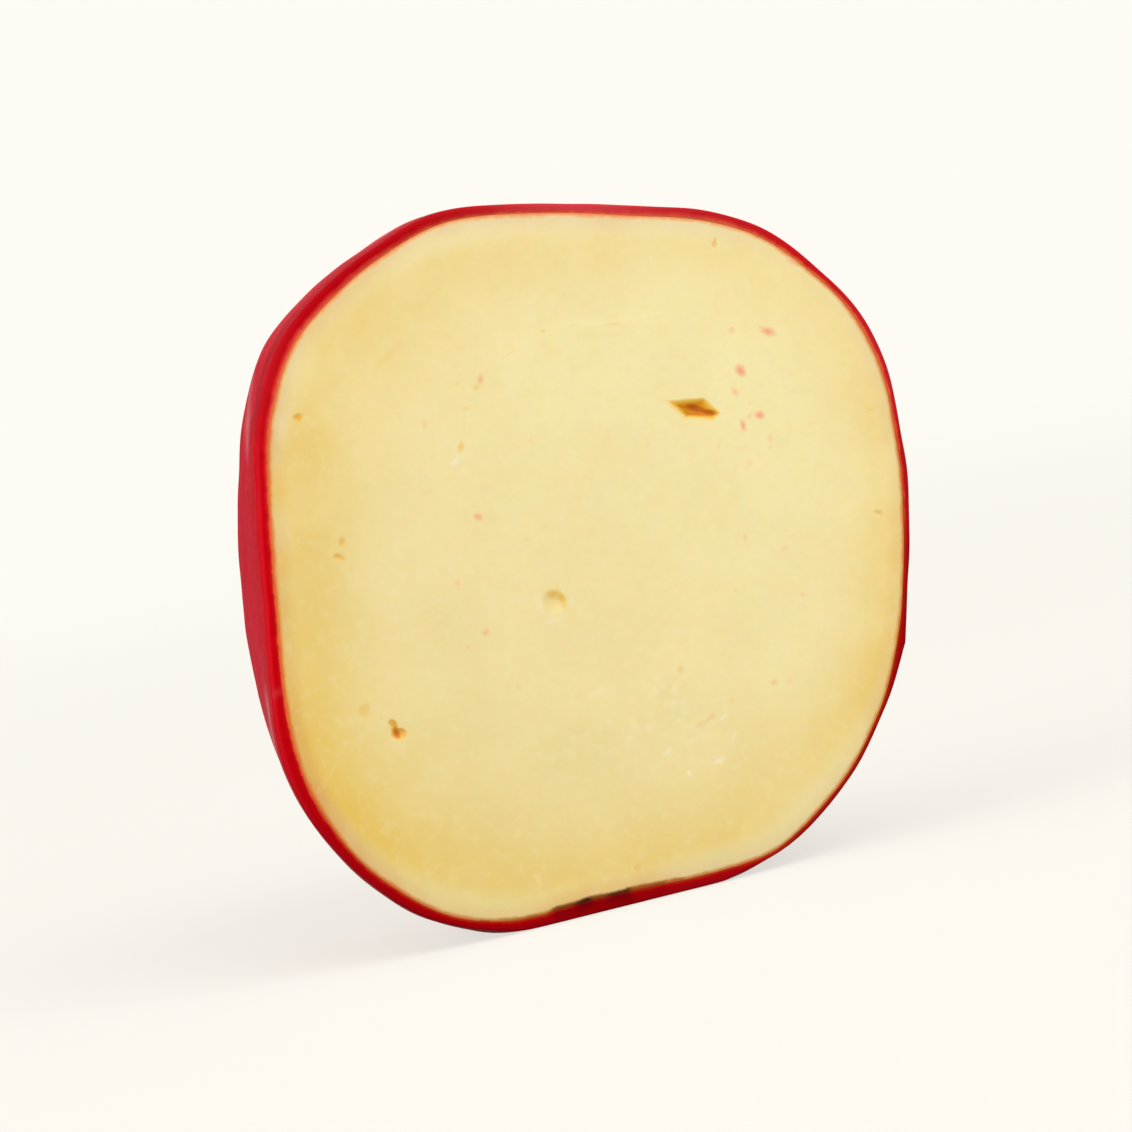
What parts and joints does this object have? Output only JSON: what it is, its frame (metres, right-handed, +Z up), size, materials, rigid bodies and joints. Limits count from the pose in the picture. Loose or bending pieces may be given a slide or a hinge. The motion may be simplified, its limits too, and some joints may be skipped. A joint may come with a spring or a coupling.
{
  "type": "edam ball half",
  "caption": "Half of a ball of firm yellow cheese in a red wax coat, upright on a flat spot with its knife cut facing forward, as food for a board, shelf or table.",
  "frame": {"origin": "middle of the flat spot the half ball stands on, 20 mm behind the knife cut", "axes": "+Z up out of the floor; -Y is the way the knife cut faces, +Y points into the uncut back of the ball; +X is right when looking at the cut"},
  "size_m": [0.1337, 0.0732, 0.1384],
  "materials": {
    "edam_paste": "firm yellow cheese paste, smooth knife cut with a faint oily sheen",
    "red_wax": "red cheese wax, satin to glossy, slightly translucent at the cut edge"
  },
  "bodies": {
    "root": {"cheese": "edam_paste", "wax_coat": "red_wax"}
  },
  "joints": []
}
